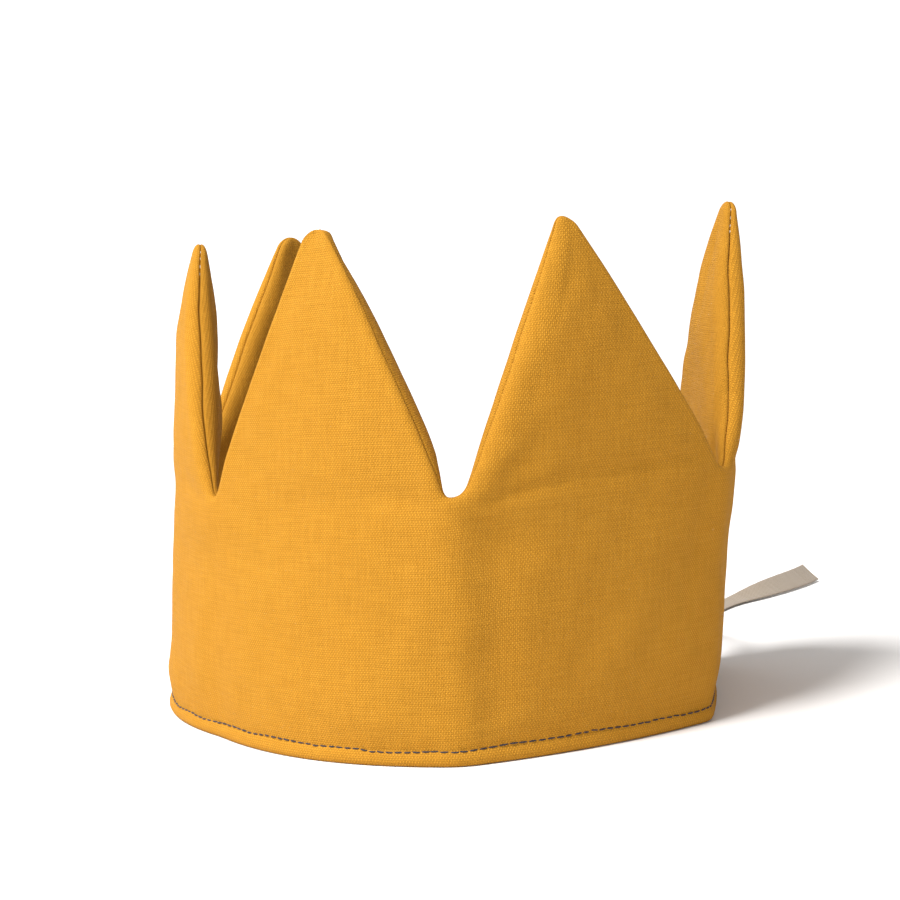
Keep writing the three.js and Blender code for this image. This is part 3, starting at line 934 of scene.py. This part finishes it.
def simulated_puffs(side):
    """How far the cloth simulation moves each layer outward, for every panel, rows by columns."""
    rows = spaced_rows(ROW_HEIGHTS, VALLEY_ROW)
    columns = spaced_rows(SHARES * PANEL_WIDTH, MIDDLE_COLUMN)
    grids = layer_grid(side, NO_PUFFS)
    normals = layer_normals(grids, side)
    valley = int(np.flatnonzero(rows == VALLEY_ROW)[0])
    index, count = strip_index(len(rows), [len(columns)] * len(PANELS), valley)
    points, outward, held = np.zeros((count, 3)), np.zeros((count, 3)), np.zeros(count, bool)
    pick = np.ix_(rows, columns)
    for i, grid in enumerate(index):
        points[grid] = grids[i][0][pick]
        outward[grid] = normals[i][pick]
        held[grid[:, [0, -1]]] = True
        held[grid[-1]] = True
        held[grid[ROW_HEIGHTS[rows] < 2 * HEM_HEIGHT]] = True
    quads = np.concatenate([grid_quads(grid) for grid in index])
    sheet = mesh_object("sheet_for_simulation", points, quads if side > 0 else quads[:, ::-1])
    group = sheet.vertex_groups.new(name="held")
    group.add(np.flatnonzero(held).tolist(), 1.0, "REPLACE")
    cloth = sheet.modifiers.new("cloth", "CLOTH")
    settings = cloth.settings
    settings.quality = 6
    settings.mass = 0.002
    settings.tension_stiffness = 15
    settings.compression_stiffness = 15
    settings.shear_stiffness = 8
    settings.bending_stiffness = 0.05
    settings.vertex_group_mass = group.name
    settings.shrink_min = -SLACK
    settings.use_pressure = True
    settings.uniform_pressure_force = PRESSURE
    settings.effector_weights.gravity = 0
    cloth.collision_settings.use_collision = False
    cloth.point_cache.frame_start = 1
    cloth.point_cache.frame_end = SIM_FRAMES
    scene = bpy.context.scene
    for step in range(1, SIM_FRAMES + 1):
        scene.frame_set(step)
    moved = np.zeros(count * 3)
    final = sheet.evaluated_get(bpy.context.evaluated_depsgraph_get()).to_mesh()
    final.vertices.foreach_get("co", moved)
    move = ((moved.reshape(-1, 3) - points) * outward).sum(1)
    move = np.clip(move, -MOVE_CAP, MOVE_CAP)
    mesh = sheet.data
    bpy.data.objects.remove(sheet)
    bpy.data.meshes.remove(mesh)
    scene.frame_set(1)
    return [spread_out(move[grid], rows, columns) for grid in index]


def spread_out(values, rows, columns):
    """Values on the simulation's rows and columns, spread smoothly over every row and column."""
    up = weights(ROW_HEIGHTS, ROW_HEIGHTS[rows])
    across = weights(SHARES * PANEL_WIDTH, SHARES[columns] * PANEL_WIDTH)
    return up @ values @ across.T


def weights(places, known):
    share = np.exp(-(((places[:, None] - known) / (1.1 * SIM_CELL)) ** 2))
    return share / share.sum(1, keepdims=True)


PUFFS = {side: simulated_puffs(side) for side in (1, -1)}
for side, kind in ((1, "outer"), (-1, "lining")):
    grids = layer_grid(side, PUFFS[side])
    normals = layer_normals(grids, side)
    for fold in range(1, len(PANELS)):
        piece = skin(f"{kind}_skin_{NAMES[fold - 1]}_{NAMES[fold]}", side, fold, grids, normals)
        piece.data.materials.append(MATERIALS[kind])
        bend(piece, fold)
        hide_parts(f"{kind}_canvas_{NAMES[fold - 1]}", f"{kind}_canvas_{NAMES[fold]}")


# ---- stitches ----
STITCH_RINGS = 9
STITCH_SIDES = 8


def stitch_rings(ends, up, radius):
    """Points of one stitch between two ends, arched along up, with its two plies showing as a twist."""
    a, b = ends
    along = unit(b - a)
    across = unit(np.cross(up, along))
    points = []
    for k in range(STITCH_RINGS):
        t = k / (STITCH_RINGS - 1)
        arch = math.sin(math.pi * t)
        centre = a + (b - a) * t + up * radius * (1.5 * arch**0.6 - 0.9)
        taper = 0.55 + 0.45 * arch**0.5
        for n in range(STITCH_SIDES):
            angle = 2 * math.pi * n / STITCH_SIDES
            ply = 1 + 0.16 * math.cos(2 * (angle - 4.5 * math.pi * t))
            r = radius * taper * ply
            points.append(centre + across * (r * math.cos(angle)) + up * (r * math.sin(angle)))
    return np.array(points)


def stitch_faces(start):
    """The sides and the two end caps of a stitch whose points are numbered from start."""
    index = start + np.arange(STITCH_RINGS * STITCH_SIDES).reshape(STITCH_RINGS, STITCH_SIDES)
    caps = [index[0, ::-1].tolist(), index[-1].tolist()]
    return grid_quads(np.hstack([index, index[:, :1]])), caps


def stitch_row(name, ends, lifts, radius, material):
    points, quads, caps = [], [], []
    for pair, lift in zip(ends, lifts):
        sides, two_caps = stitch_faces(sum(map(len, points)))
        points.append(stitch_rings(pair, lift, radius))
        quads.append(sides)
        caps += two_caps
    piece = mesh_object(name, np.concatenate(points), np.concatenate(quads), caps)
    piece.data.materials.append(MATERIALS[material])
    return piece


STITCH_PITCH = 3.0 * MM
STITCH_GAP = 0.3 * MM
STITCH_MARGIN = 2.2 * MM  # from the ends of the strip to the first and last stitches
HEM_THREAD = 0.25 * MM  # half the thread's thickness


def hem_stitches(fold, side):
    first = 0 if fold == 1 else (fold - 0.5) * PANEL_WIDTH
    last = STRIP_WIDTH if fold == len(PANELS) - 1 else (fold + 0.5) * PANEL_WIDTH
    starts = np.arange(STITCH_MARGIN, STRIP_WIDTH - STITCH_MARGIN - STITCH_PITCH, STITCH_PITCH)
    starts = starts[(starts + STITCH_PITCH / 2 >= first) & (starts + STITCH_PITCH / 2 < last)]
    shift = 0 if side > 0 else STITCH_PITCH / 2
    a = starts + shift + STITCH_GAP / 2
    b = starts + shift + STITCH_PITCH - STITCH_GAP / 2
    ends = []
    random = np.random.default_rng(70 + 2 * fold + (side > 0))
    for u in (a, b):
        u = u + random.normal(0, 0.16 * MM, len(u))
        z = HEM_HEIGHT + 0.35 * MM * np.sin(u * 61 + 1) + 0.18 * MM * np.sin(u * 233)
        z = z + random.normal(0, 0.09 * MM, len(u))
        points, _ = cloth_point(u, z, side, np.zeros(len(u)))
        _, outward = surface(u, z)
        ends.append((points, outward))
    pairs = np.stack([ends[0][0], ends[1][0]], 1)
    lifts = unit(ends[0][1] + ends[1][1]) * side
    kind = "outer" if side > 0 else "inner"
    name = f"hem_stitches_{kind}_{NAMES[fold - 1]}_{NAMES[fold]}"
    piece = stitch_row(name, pairs, lifts, HEM_THREAD, "hem_thread")
    bend(piece, fold)
    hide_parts(f"hem_stitch_{kind}_{NAMES[fold - 1]}", f"hem_stitch_{kind}_{NAMES[fold]}")


for fold in range(1, len(PANELS)):
    for side in (1, -1):
        hem_stitches(fold, side)

TIP_STITCHES = 4
TIP_SINKS = [1.5, 0.75, 1.6, 1.5, 0.75]  # how far down the groove each point's stitches lie, as a share
TIP_STITCH_PITCH = 2.3 * MM
SEAM_THREAD = 0.22 * MM  # half the thread's thickness


def tip_stitches(i):
    """The pale seam thread that shows in the groove near a tip, on both sides of the point."""
    pairs, lifts = [], []
    random = np.random.default_rng(90 + i)
    for right in (False, True):
        heights = top_of(i) - 2.2 * MM - TIP_STITCH_PITCH * np.arange(TIP_STITCHES)
        for z in heights + random.normal(0, 0.25 * MM, TIP_STITCHES):
            z_pair = np.array([z, z - random.uniform(0.4, 0.65) * TIP_STITCH_PITCH])
            u = side_at(i, z_pair, right) + i * PANEL_WIDTH
            _, away = from_seam(u, z_pair)
            inside = groove_depth(u, edge_radius(u, z_pair, 1)) * TIP_SINKS[i]
            u_in, z_in = u + away[:, 0] * inside, z_pair + away[:, 1] * inside
            places, outward = surface(u_in, z_in)
            out = seam_shift(u, z_pair) + middle_depth(u, z_pair) + random.normal(0, 0.12 * MM, 2)
            pairs.append(places + outward * out[:, None])
            nearer, _ = surface(u, z_pair)
            lifts.append(unit(nearer.mean(0) - places.mean(0)))
    piece = stitch_row(f"tip_stitches_{NAMES[i]}", pairs, lifts, SEAM_THREAD, "seam_thread")
    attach(piece, NAMES[i])
    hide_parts(f"seam_thread_{NAMES[i]}")


for i in range(len(PANELS)):
    tip_stitches(i)


# ---- the wadding inside each point ----
WADDING_INSET = 7 * MM
WADDING_SLACK = 1.3 * MM  # how far it stays below each face
WADDING_TOP = CROWN_HEIGHT - 20 * MM


def wadding(i):
    rows = np.linspace(HEM_HEIGHT + WADDING_INSET, WADDING_TOP, 40)
    shares = (1 - np.cos(np.linspace(0, math.pi, 26))) / 2
    left = np.where(rows > BAND_HEIGHT - WADDING_INSET, side_at(i, rows, False), 0) + WADDING_INSET
    right = np.where(rows > BAND_HEIGHT - WADDING_INSET, side_at(i, rows, True), PANEL_WIDTH) - WADDING_INSET
    u = left[:, None] + (right - left)[:, None] * shares + i * PANEL_WIDTH
    z = np.repeat(rows[:, None], len(shares), 1)
    half = half_thickness(u.ravel(), z.ravel()).reshape(u.shape) - WADDING_SLACK
    row_share = np.linspace(0, 1, len(rows))[:, None]
    closing = (4 * shares * (1 - shares))[None, :] ** 0.35 * (4 * row_share * (1 - row_share)) ** 0.35
    tuft = 1 + 0.08 * waves(40 + i, 16, 6 * MM, 20 * MM)(u.ravel(), z.ravel()).reshape(u.shape)
    depth = np.maximum(half * closing * tuft, 0)
    place, outward = surface(u.ravel(), z.ravel())
    points = []
    for way in (1, -1):
        out = -MIDDLE_DEPTH + way * depth.ravel()
        points.append(place + outward * out[:, None])
    count = u.size
    index = np.arange(count).reshape(u.shape)
    back = index + count
    back[0], back[-1], back[:, 0], back[:, -1] = index[0], index[-1], index[:, 0], index[:, -1]
    faces = np.vstack([grid_quads(index), grid_quads(back)[:, ::-1]])
    used, compact = np.unique(faces, return_inverse=True)
    piece = mesh_object(f"wadding_pad_{NAMES[i]}", np.vstack(points)[used], compact.reshape(faces.shape))
    piece.data.materials.append(MATERIALS["wadding"])
    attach(piece, NAMES[i])
    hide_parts(f"wadding_{NAMES[i]}")


for i in range(len(PANELS)):
    wadding(i)


# ---- floor and light ----
FLOOR_REACH = 0.75
FLOOR_COLOURS = (0.765, 0.747, 0.732, 1), (0.795, 0.777, 0.762, 1)
KEY_PLACE = (-0.54, -1.69, 2.64)
KEY_TARGET = (0, 0, 0.07)
KEY_SIZE = 1.26
KEY_POWER = 168  # watts
STUDIO_STRENGTH = 1.05
FILL_SIDE = (-0.8, -0.6, 0.1)  # the studio is brighter on this side
FILL = (0.6, 1.97)  # its brightness away from that side and towards it


def add_floor():
    mesh = bpy.data.meshes.new("floor")
    corners = [(x * FLOOR_REACH, y * FLOOR_REACH, 0) for x, y in ((-1, -1), (1, -1), (1, 1), (-1, 1))]
    mesh.from_pydata(corners, [], [(0, 1, 2, 3)])
    floor = bpy.data.objects.new("floor", mesh)
    bpy.context.scene.collection.objects.link(floor)
    nodes = Nodes("floor")
    grain = nodes.noise(nodes.object_place(), 40, 2)
    colour = nodes.mix(grain, *FLOOR_COLOURS)
    nodes.finish(colour, 0.9, nodes.bump(grain, 0.1 * MM, 0.1))
    mesh.materials.append(nodes.material)


def add_area(name, place, target, size, power):
    data = bpy.data.lights.new(name, "AREA")
    data.shape = "DISK"
    data.size = size
    data.energy = power
    light = bpy.data.objects.new(name, data)
    light.location = place
    light.rotation_mode = "QUATERNION"
    light.rotation_quaternion = (Vector(target) - Vector(place)).to_track_quat("-Z", "Y")
    bpy.context.scene.collection.objects.link(light)


def add_world(strength):
    world = bpy.data.worlds.new("studio")
    bpy.context.scene.world = world
    world.use_nodes = True
    tree = world.node_tree
    background = tree.nodes["Background"]
    background.inputs["Strength"].default_value = strength
    direction = tree.nodes.new("ShaderNodeTexCoord").outputs["Generated"]

    def ramp_along(axis, low, high, to_low, to_high):
        dot = tree.nodes.new("ShaderNodeVectorMath")
        dot.operation = "DOT_PRODUCT"
        tree.links.new(direction, dot.inputs[0])
        dot.inputs[1].default_value = axis
        return map_range(tree, dot.outputs["Value"], low, high, to_low, to_high)

    total = tree.nodes.new("ShaderNodeMath")
    total.operation = "MULTIPLY"
    tree.links.new(ramp_along((0, 0, 1), 0.2, 0.7, 1.0, 0.35), total.inputs[0])
    tree.links.new(ramp_along(FILL_SIDE, -1.0, 1.0, *FILL), total.inputs[1])
    tree.links.new(total.outputs[0], background.inputs["Color"])


add_floor()
add_world(STUDIO_STRENGTH)
add_area("key", KEY_PLACE, KEY_TARGET, KEY_SIZE, KEY_POWER)
bpy.context.scene.view_settings.view_transform = "Standard"
